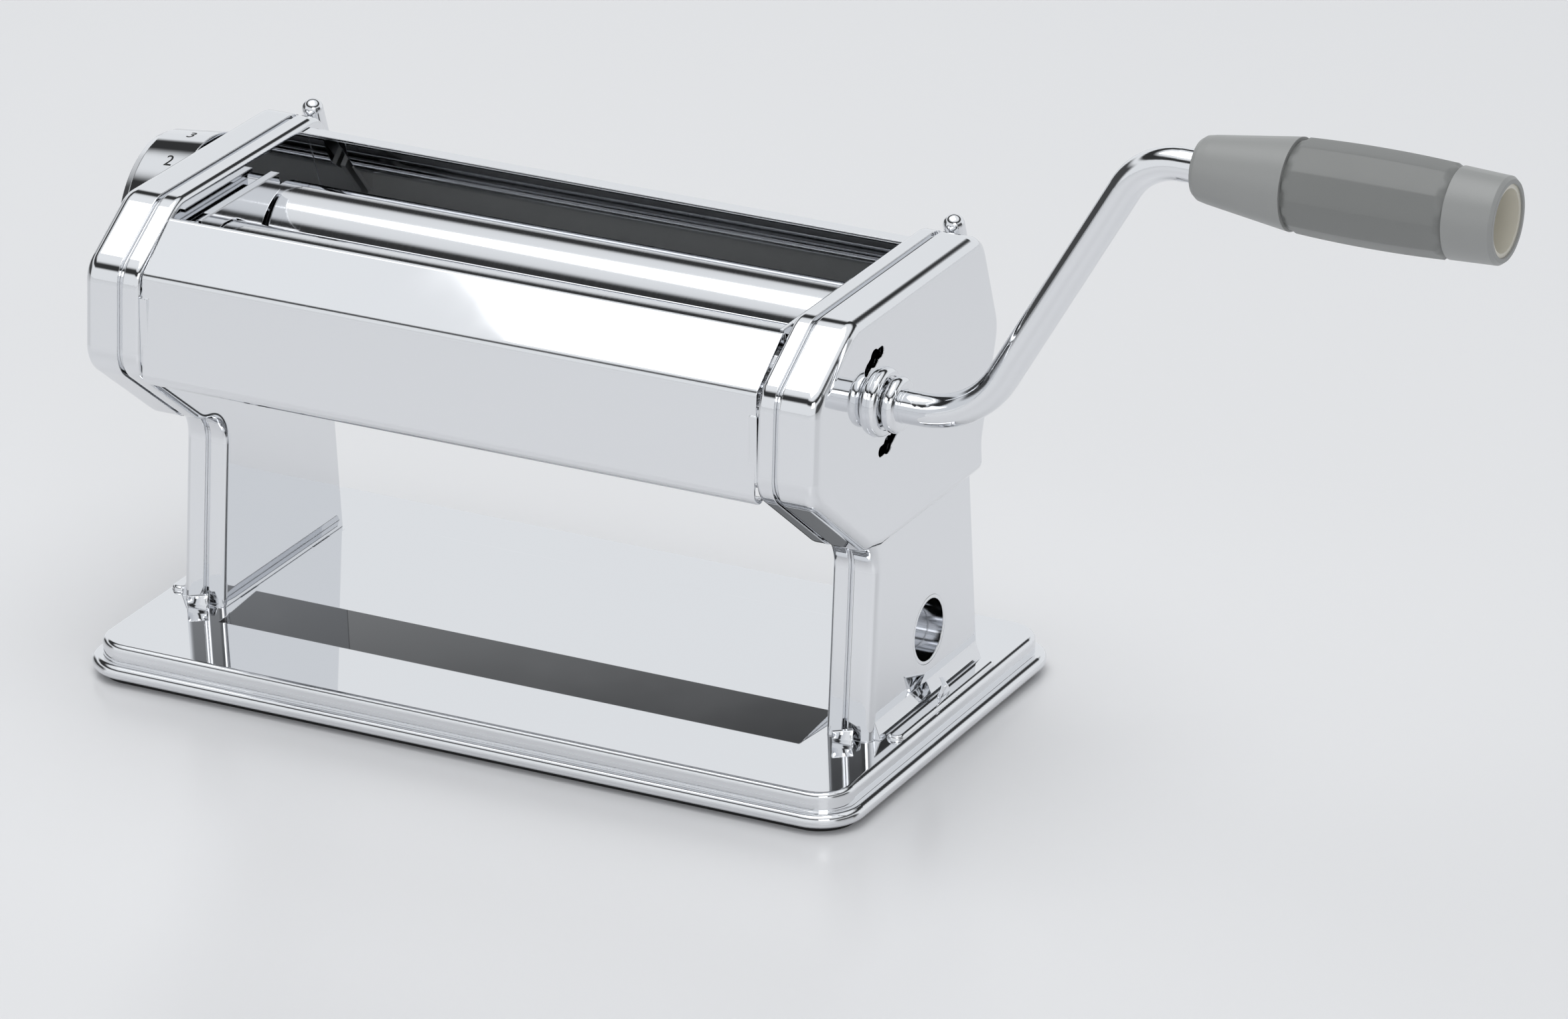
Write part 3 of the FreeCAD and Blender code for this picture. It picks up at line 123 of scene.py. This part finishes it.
# %% Start of a finish
class Finish:
    """A material with its Principled shader, and the textures that finishes share."""

    def __init__(self, name, **constants):
        self.material = bpy.data.materials.new(name)
        self.material.use_nodes = True
        self.tree = self.material.node_tree
        self.shader = self.tree.nodes["Principled BSDF"]
        for key, value in constants.items():
            self.shader.inputs[key.replace("_", " ")].default_value = value
        self.place = self.tree.nodes.new("ShaderNodeTexCoord").outputs["Object"]

    def noise(self, scale, detail=2.0, stretch=(1, 1, 1), rough=0.5):
        """Smooth noise from 0 to 1; scale is waves per metre, stretch multiplies it along each axis."""
        mapping = self.tree.nodes.new("ShaderNodeMapping")
        mapping.inputs["Scale"].default_value = stretch
        self.tree.links.new(self.place, mapping.inputs["Vector"])
        node = self.tree.nodes.new("ShaderNodeTexNoise")
        node.inputs["Scale"].default_value = scale
        node.inputs["Detail"].default_value = detail
        node.inputs["Roughness"].default_value = rough
        self.tree.links.new(mapping.outputs[0], node.inputs["Vector"])
        return Field(self.tree, node.outputs["Fac"])

    def roughness(self, field):
        field.into(self.shader.inputs["Roughness"])

    def relief(self, field, depth, rounded_edge=0.0):
        """Bump the surface by field times depth in metres, over edges softened by rounded_edge."""
        bump = self.tree.nodes.new("ShaderNodeBump")
        bump.inputs["Distance"].default_value = depth
        field.into(bump.inputs["Height"])
        if rounded_edge:
            bevel = self.tree.nodes.new("ShaderNodeBevel")
            bevel.samples = 6
            bevel.inputs["Radius"].default_value = rounded_edge
            self.tree.links.new(bevel.outputs[0], bump.inputs["Normal"])
        self.tree.links.new(bump.outputs[0], self.shader.inputs["Normal"])


def put_on(finish, *names):
    """Give CAD pieces this finish in every material slot."""
    for name in names:
        piece = nodes[name]
        if not piece.material_slots:
            piece.data.materials.append(None)
        for place in piece.material_slots:
            place.link = "OBJECT"
            place.material = finish.material


# %% [markdown]
# ## Chromed sheet
# Most of the machine is thin steel sheet, pressed, polished and chrome plated.  Chrome shows nothing but its
# surroundings, so its look comes from the light and from how flat the sheet is: pressed sheet is never quite
# flat, and long gentle waves bend the reflections.  A very low, very long bump gives that, and fingers and
# cloths leave faint cloudy patches in the roughness.

# %% Polished chrome
CHROME = (0.80, 0.81, 0.83)
POLISH = 0.025           # roughness of clean chrome
SMUDGE = 0.05            # roughness that fingers and cloths add
SHEET_WAVE = 0.00006     # depth of the sheet's long waves
SOFT_EDGE = 0.0004


def smudges(finish):
    """Cloudy patches from 0 to 1, a few centimetres across."""
    return finish.noise(28, detail=3).step(0.35, 0.8)


def chromed(name, wave=SHEET_WAVE, smudge=SMUDGE):
    finish = Finish(name, Base_Color=(*CHROME, 1), Metallic=1.0)
    finish.roughness(smudges(finish) * smudge + POLISH)
    finish.relief(finish.noise(14, detail=0), wave, rounded_edge=SOFT_EDGE)
    return finish


sheet_chrome = chromed("polished_chrome_sheet")
rod_chrome = chromed("polished_chrome_rod", wave=0.0, smudge=0.03)
put_on(sheet_chrome, "right_frame_plate", "left_frame_plate", "right_cover", "left_cover", "front_panel",
       "rear_panel", "right_dough_guide", "left_dough_guide", "clamp_socket", "lock_tabs")
put_on(rod_chrome, "right_rail", "left_rail", "front_upper_tie_rod", "front_lower_tie_rod", "rear_tie_rod",
       "crank_rod", "crank_collar", "hub_bush", "dial")

# %% [markdown]
# ## The base and its grainy riser
# The base is the same chromed sheet, but the long front and rear risers keep the fine grain of the drawn
# steel between their bright edges.  The grain is a fast noise, let in only where the surface faces forward or
# back and lies between the rim and the top edge.

# %% Chrome with a grain band on the riser
def base_chrome():
    finish = Finish("base_chrome", Base_Color=(*CHROME, 1), Metallic=1.0)
    low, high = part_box("base_plate")
    height = split(finish.tree, finish.place)[2]
    facing = split(finish.tree, finish.tree.nodes.new("ShaderNodeNewGeometry").outputs["Normal"])[1]
    bright_edge = 0.0042
    upright = facing.math("ABSOLUTE").step(0.93, 0.97)
    riser = height.band(low.z + bright_edge, high.z - bright_edge, 0.0003) * upright
    grain = finish.noise(2600, detail=2, stretch=(0.6, 1, 1.4))
    finish.roughness(smudges(finish) * SMUDGE + riser * 0.3 + POLISH)
    finish.relief(finish.noise(14, detail=0) + riser * grain * 0.6, SHEET_WAVE, rounded_edge=SOFT_EDGE)
    return finish


put_on(base_chrome(), "base_plate")

# %% [markdown]
# ## Ground rollers and machined steel
# The rollers are turned, ground and plated: bright, with the faintest rings round them.  Noise squeezed hard
# along the roller's axis makes those rings.  Gears, cams and blocks inside are plain machined steel with
# coarser marks.

# %% Rings round the rollers
def turned(name, tint, polish, ring_depth):
    finish = Finish(name, Base_Color=(*tint, 1), Metallic=1.0)
    rings = finish.noise(90, detail=3, stretch=(28, 0.3, 0.3))
    finish.roughness(rings * 0.12 + polish)
    finish.relief(rings, ring_depth, rounded_edge=0.0003)
    return finish


put_on(turned("ground_roller", (0.74, 0.75, 0.77), 0.03, 0.000004), "drive_roller", "adjusting_roller")
put_on(turned("machined_steel", (0.50, 0.51, 0.53), 0.22, 0.00001), "drive_gear", "adjusting_gear",
       "right_cam", "left_cam", "thickness_shaft", "right_yoke", "left_slider", "right_slider",
       "slider_springs", "tie_rod_screws", "index_ring", "index_pin", "dial_washer", "dial_screw",
       "dial_spring", "grip_washer")

# %% [markdown]
# ## Plastics and rubber
# The grip is moulded in a soft grey with a satin skin, its liner in a glossier cream, and the ring under the
# base is black rubber.  Moulded skins have a fine even texture, which a fast shallow noise gives.

# %% Moulded finishes
def moulded(name, light, dark, roughness, texture=0.00002, scale=1800):
    finish = Finish(name, Metallic=0.0)
    shade = blend_colour(finish.tree, finish.noise(40, detail=3), dark, light)
    finish.tree.links.new(shade, finish.shader.inputs["Base Color"])
    finish.roughness(finish.noise(120, detail=2) * 0.1 + roughness)
    finish.relief(finish.noise(scale, detail=2), texture, rounded_edge=0.0003)
    return finish


light_grey = moulded("light_grey_plastic", (0.33, 0.335, 0.33), (0.30, 0.305, 0.30), 0.34)
sleeve_grey = moulded("sleeve_grey_plastic", (0.215, 0.22, 0.215), (0.195, 0.20, 0.195), 0.38)
cream = moulded("cream_plastic", (0.74, 0.71, 0.62), (0.70, 0.67, 0.58), 0.28, texture=0.000005)
white_plastic = moulded("white_plastic", (0.72, 0.72, 0.69), (0.68, 0.68, 0.65), 0.35, texture=0.000005)
rubber = moulded("black_rubber", (0.012, 0.012, 0.012), (0.008, 0.008, 0.008), 0.55, texture=0.00003)
put_on(light_grey, "crank_grip")
put_on(cream, "grip_liner")
put_on(white_plastic, "right_drive_bush", "left_drive_bush", "left_shaft_bearing", "right_shaft_bearing",
       "front_scraper", "rear_scraper")
put_on(rubber, "foot_ring")

# %% [markdown]
# ## The fluted sleeve
# The grip's middle is a barrel with wide, shallow flutes along it, so that it doesn't slip in a wet hand.
# Its radius follows a rule: a barrel curve along the grip, minus a shallow scallop round it.  Geometry Nodes
# build it from a tube-shaped grid whose points are moved out by that rule, so the number of flutes and their
# depth stay named inputs.

# %% Tree for the fluted sleeve
class Nodes:
    """Shortens the making of a geometry tree."""

    def __init__(self, name, inputs):
        self.tree = bpy.data.node_groups.new(name, "GeometryNodeTree")
        for label, kind in inputs:
            self.tree.interface.new_socket(label, in_out="INPUT", socket_type=kind)
        self.tree.interface.new_socket("Geometry", in_out="OUTPUT", socket_type="NodeSocketGeometry")
        self.enter = self.tree.nodes.new("NodeGroupInput")
        self.leave = self.tree.nodes.new("NodeGroupOutput")

    def add(self, kind, values=(), **settings):
        """A node with its settings; values are (input, number or output socket)."""
        node = self.tree.nodes.new(kind)
        for key, value in settings.items():
            setattr(node, key, value)
        for place, value in values:
            if isinstance(value, bpy.types.NodeSocket):
                self.tree.links.new(value, node.inputs[place])
            else:
                node.inputs[place].default_value = value
        return node

    def sum(self, operation, first, second=0.0):
        """Output of a Math node."""
        return self.add("ShaderNodeMath", ((0, first), (1, second)), operation=operation).outputs[0]

    def given(self, label):
        return self.enter.outputs[label]


def plain_mesh(name, tree, values):
    """Run a geometry tree on an empty object and keep the result as a plain mesh object."""
    host = bpy.data.objects.new(name + "_host", bpy.data.meshes.new(name + "_host"))
    bpy.context.scene.collection.objects.link(host)
    modifier = host.modifiers.new("build", "NODES")
    modifier.node_group = tree
    for item in tree.interface.items_tree:
        if item.item_type == "SOCKET" and item.in_out == "INPUT" and item.name in values:
            modifier[item.identifier] = values[item.name]
    evaluated = host.evaluated_get(bpy.context.evaluated_depsgraph_get())
    mesh = bpy.data.meshes.new_from_object(evaluated)
    host.modifiers.remove(modifier)
    bpy.data.objects.remove(host)
    piece = bpy.data.objects.new(name, mesh)
    bpy.context.scene.collection.objects.link(piece)
    print(name, "has", len(mesh.polygons), "faces")
    return piece


def sleeve_tree():
    g = Nodes("fluted_sleeve", (("Length", "NodeSocketFloat"), ("End Radius", "NodeSocketFloat"),
                                ("Belly", "NodeSocketFloat"), ("Flutes", "NodeSocketInt"),
                                ("Flute Depth", "NodeSocketFloat"), ("Finish", "NodeSocketMaterial")))
    grid = g.add("GeometryNodeMeshGrid", (("Size X", 1.0), ("Size Y", 1.0), ("Vertices X", 49),
                                          ("Vertices Y", 289)))
    spot = g.add("GeometryNodeInputPosition")
    parts = g.add("ShaderNodeSeparateXYZ", ((0, spot.outputs[0]),))
    along = g.sum("ADD", parts.outputs[0], 0.5)
    turn = g.sum("MULTIPLY", parts.outputs[1], 2 * pi)
    # the belly is a parabola along the sleeve, the flutes a row of scallops round it
    fall = g.sum("MULTIPLY", g.sum("MULTIPLY", parts.outputs[0], parts.outputs[0]), 4.0)
    barrel = g.sum("ADD", g.given("End Radius"),
                   g.sum("MULTIPLY", g.given("Belly"), g.sum("SUBTRACT", 1.0, fall)))
    swing = g.sum("MULTIPLY", turn, g.given("Flutes"))
    hollow = g.sum("ABSOLUTE", g.sum("SINE", g.sum("MULTIPLY", swing, 0.5)))
    rib = g.sum("SUBTRACT", 1.0, hollow)
    # flutes start and stop a little way in from both ends
    near_end = g.sum("MINIMUM", along, g.sum("SUBTRACT", 1.0, along))
    curve = g.sum("MULTIPLY", g.sum("SUBTRACT", 1.0, g.sum("MULTIPLY", hollow, hollow)), 0.012)
    edge = g.sum("SUBTRACT", near_end, curve)
    inside = g.add("ShaderNodeMapRange", (("Value", edge), ("From Min", 0.012), ("From Max", 0.022)),
                   interpolation_type="SMOOTHSTEP").outputs["Result"]
    lift = g.sum("MULTIPLY", g.sum("MULTIPLY", rib, g.given("Flute Depth")), inside)
    drop = g.sum("MULTIPLY", g.sum("SUBTRACT", 1.0, inside), g.sum("MULTIPLY", g.given("Flute Depth"), 1.6))
    radius = g.sum("SUBTRACT", g.sum("ADD", barrel, lift), drop)
    x = g.sum("MULTIPLY", along, g.given("Length"))
    y = g.sum("MULTIPLY", radius, g.sum("COSINE", turn))
    z = g.sum("MULTIPLY", radius, g.sum("SINE", turn))
    place = g.add("ShaderNodeCombineXYZ", ((0, x), (1, y), (2, z)))
    moved = g.add("GeometryNodeSetPosition", (("Geometry", grid.outputs["Mesh"]),
                                              ("Position", place.outputs[0])))
    joined = g.add("GeometryNodeMergeByDistance", (("Geometry", moved.outputs[0]), ("Distance", 1e-6)))
    smooth = g.add("GeometryNodeSetShadeSmooth", (("Geometry", joined.outputs[0]), ("Shade Smooth", True)))
    real = g.add("GeometryNodeRealizeInstances", (("Geometry", smooth.outputs[0]),))
    dressed = g.add("GeometryNodeSetMaterial", (("Geometry", real.outputs[0]),
                                                ("Material", g.given("Finish"))))
    g.tree.links.new(dressed.outputs[0], g.leave.inputs[0])
    return g.tree


# %% Build the sleeve in the place of its plain form
sleeve_low, sleeve_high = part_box("grip_sleeve")
sleeve_radius = (sleeve_high.y - sleeve_low.y) / 2
flute_depth = 0.0004
end_radius = sleeve_radius - 0.0006
sleeve = plain_mesh("fluted_sleeve", sleeve_tree(), {
    "Length": sleeve_high.x - sleeve_low.x, "End Radius": end_radius - flute_depth,
    "Belly": sleeve_radius - end_radius, "Flutes": 10, "Flute Depth": flute_depth,
    "Finish": sleeve_grey.material})
sleeve.data.transform(Matrix.Translation((sleeve_low.x, (sleeve_low.y + sleeve_high.y) / 2,
                                          (sleeve_low.z + sleeve_high.z) / 2)))
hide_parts("grip_sleeve")
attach(sleeve, "grip")

# %% [markdown]
# ## Numbers on the dial
# The dial shows which gap is set.  Its numbers stand on the skirt, read from the crank's side, and the one on
# top is the setting in use.  Each is a text object turned into a mesh and then laid on the skirt's cone point
# by point: upwards becomes a turn about the shaft, sideways becomes a place along the skirt.

# %% Ink
ink = moulded("black_ink", (0.006, 0.006, 0.006), (0.004, 0.004, 0.004), 0.4, texture=0.000002)

# %% Lay nine numbers round the skirt
dial_low, dial_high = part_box("dial")
shaft_y = (dial_low.y + dial_high.y) / 2
shaft_z = (dial_low.z + dial_high.z) / 2
rim_radius = (dial_high.y - dial_low.y) / 2
skirt_taper = 0.0014     # how much narrower the skirt is at the dial's face
face_chamfer = 0.0026
face_radius = rim_radius - skirt_taper
digit_height = 0.0034
digit_centre = dial_high.x - 0.0058
digit_lift = 0.00004     # ink over the skirt
setting_step = radians(30)
settings = 9
top_setting = 3


def skirt_point(along, turn, lift):
    """Point on the dial's skirt at x = along and an angle from the +Y side, lifted off the surface."""
    share = (dial_high.x - along) / (dial_high.x - dial_low.x - face_chamfer)
    radius = rim_radius + (face_radius - rim_radius) * share + lift
    return Vector((along, shaft_y + radius * cos(turn), shaft_z + radius * sin(turn)))


def dial_number(number):
    letter = bpy.data.curves.new("number_%d" % number, "FONT")
    letter.body = str(number)
    letter.size = digit_height / 0.7    # a digit stands about 0.7 of its letter size
    letter.align_x = "CENTER"
    letter.resolution_u = 6
    carrier = bpy.data.objects.new("number_%d_text" % number, letter)
    bpy.context.scene.collection.objects.link(carrier)
    mesh = bpy.data.meshes.new_from_object(carrier.evaluated_get(bpy.context.evaluated_depsgraph_get()))
    bpy.data.objects.remove(carrier)
    centre = pi / 2 - (number - top_setting) * setting_step
    for point in mesh.vertices:
        turn = centre - (point.co.y - digit_height / 2) / rim_radius
        along = digit_centre + point.co.x
        point.co = skirt_point(along, turn, digit_lift)
    piece = bpy.data.objects.new("dial_number_%d" % number, mesh)
    bpy.context.scene.collection.objects.link(piece)
    mesh.materials.clear()
    mesh.materials.append(ink.material)
    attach(piece, "dial")
    return piece


numbers = [dial_number(n) for n in range(1, settings + 1)]
print("numbers on the dial:", len(numbers))

# %% [markdown]
# ## Floor, light and air
# A bright pale floor and a large soft box overhead suit polished metal.  Chrome also needs something dark to
# reflect, or it looks like paper, so the room's light is a set of broad bands: bright near the horizon, dark
# above it, bright again overhead, with darker stretches to the sides.

# %% Floor
span = 3.0
floor_mesh = bpy.data.meshes.new("floor")
corners = [(-span, -span, 0), (span, -span, 0), (span, span, 0), (-span, span, 0)]
floor_mesh.from_pydata(corners, [], [(0, 1, 2, 3)])
floor = bpy.data.objects.new("floor", floor_mesh)
bpy.context.scene.collection.objects.link(floor)
floor_finish = Finish("pale_floor", Base_Color=(0.86, 0.86, 0.87, 1), Roughness=0.22)
floor_mesh.materials.append(floor_finish.material)

# %% Room light as soft bands
world = bpy.data.worlds.new("studio")
bpy.context.scene.world = world
world.use_nodes = True
air = world.node_tree
side, _, rise = split(air, air.nodes.new("ShaderNodeTexCoord").outputs["Generated"])
dark_band = rise.band(0.50, 0.72, 0.05)
side_dark = side.math("ABSOLUTE").step(0.80, 0.92) * rise.band(-0.2, 0.35, 0.08)
overhead = rise.step(0.76, 0.84)
strength = (dark_band * -0.86 + 0.90) * (side_dark * -0.92 + 1) + overhead * 0.06
room = air.nodes["Background"]
room.inputs["Color"].default_value = (0.96, 0.98, 1.0, 1)
strength.into(room.inputs["Strength"])
backdrop = air.nodes.new("ShaderNodeBackground")
backdrop.inputs["Color"].default_value = (1, 1, 1, 1)
chooser = air.nodes.new("ShaderNodeMixShader")
air.links.new(air.nodes.new("ShaderNodeLightPath").outputs["Is Camera Ray"], chooser.inputs[0])
air.links.new(room.outputs[0], chooser.inputs[1])
air.links.new(backdrop.outputs[0], chooser.inputs[2])
air.links.new(chooser.outputs[0], air.nodes["World Output"].inputs[0])


# %% Soft box overhead and a fill in front
def soft_box(name, where, aim, width, height, power):
    lamp = bpy.data.lights.new(name, "AREA")
    lamp.shape = "RECTANGLE"
    lamp.size = width
    lamp.size_y = height
    lamp.energy = power
    holder = bpy.data.objects.new(name, lamp)
    bpy.context.scene.collection.objects.link(holder)
    holder.location = where
    holder.rotation_euler = (Vector(aim) - Vector(where)).to_track_quat("-Z", "Y").to_euler()
    return holder


soft_box("overhead_box", (-0.1, -0.1, 1.3), (0, 0, 0.05), 1.1, 0.9, 5)
soft_box("front_fill", (0.9, -1.2, 0.9), (0, 0, 0.05), 0.7, 0.5, 2)

# %% [markdown]
# ## Camera
# A long lens from the crank's side, a little above, keeps the machine's edges nearly parallel.  The camera
# stands where the base's corners fall in the right places, and looks straight ahead without any shift.

# %% Place the camera
azimuth = radians(27.12)
elevation = radians(22.73)
ahead = Vector((-sin(azimuth) * cos(elevation), cos(azimuth) * cos(elevation), -sin(elevation)))
rightward = Vector((cos(azimuth), sin(azimuth), 0))
upward = rightward.cross(ahead)
camera_data = bpy.data.cameras.new("camera")
camera_data.sensor_width = 36
camera_data.lens = 198.1
camera = bpy.data.objects.new("camera", camera_data)
bpy.context.scene.collection.objects.link(camera)
stand = ahead * -2.1168 + rightward * 0.0526 + upward * 0.0393
turned_to = Matrix((rightward, upward, -ahead)).transposed().to_4x4()
camera.matrix_world = Matrix.Translation(stand) @ turned_to
bpy.context.scene.camera = camera
bpy.context.scene.view_settings.view_transform = "Standard"
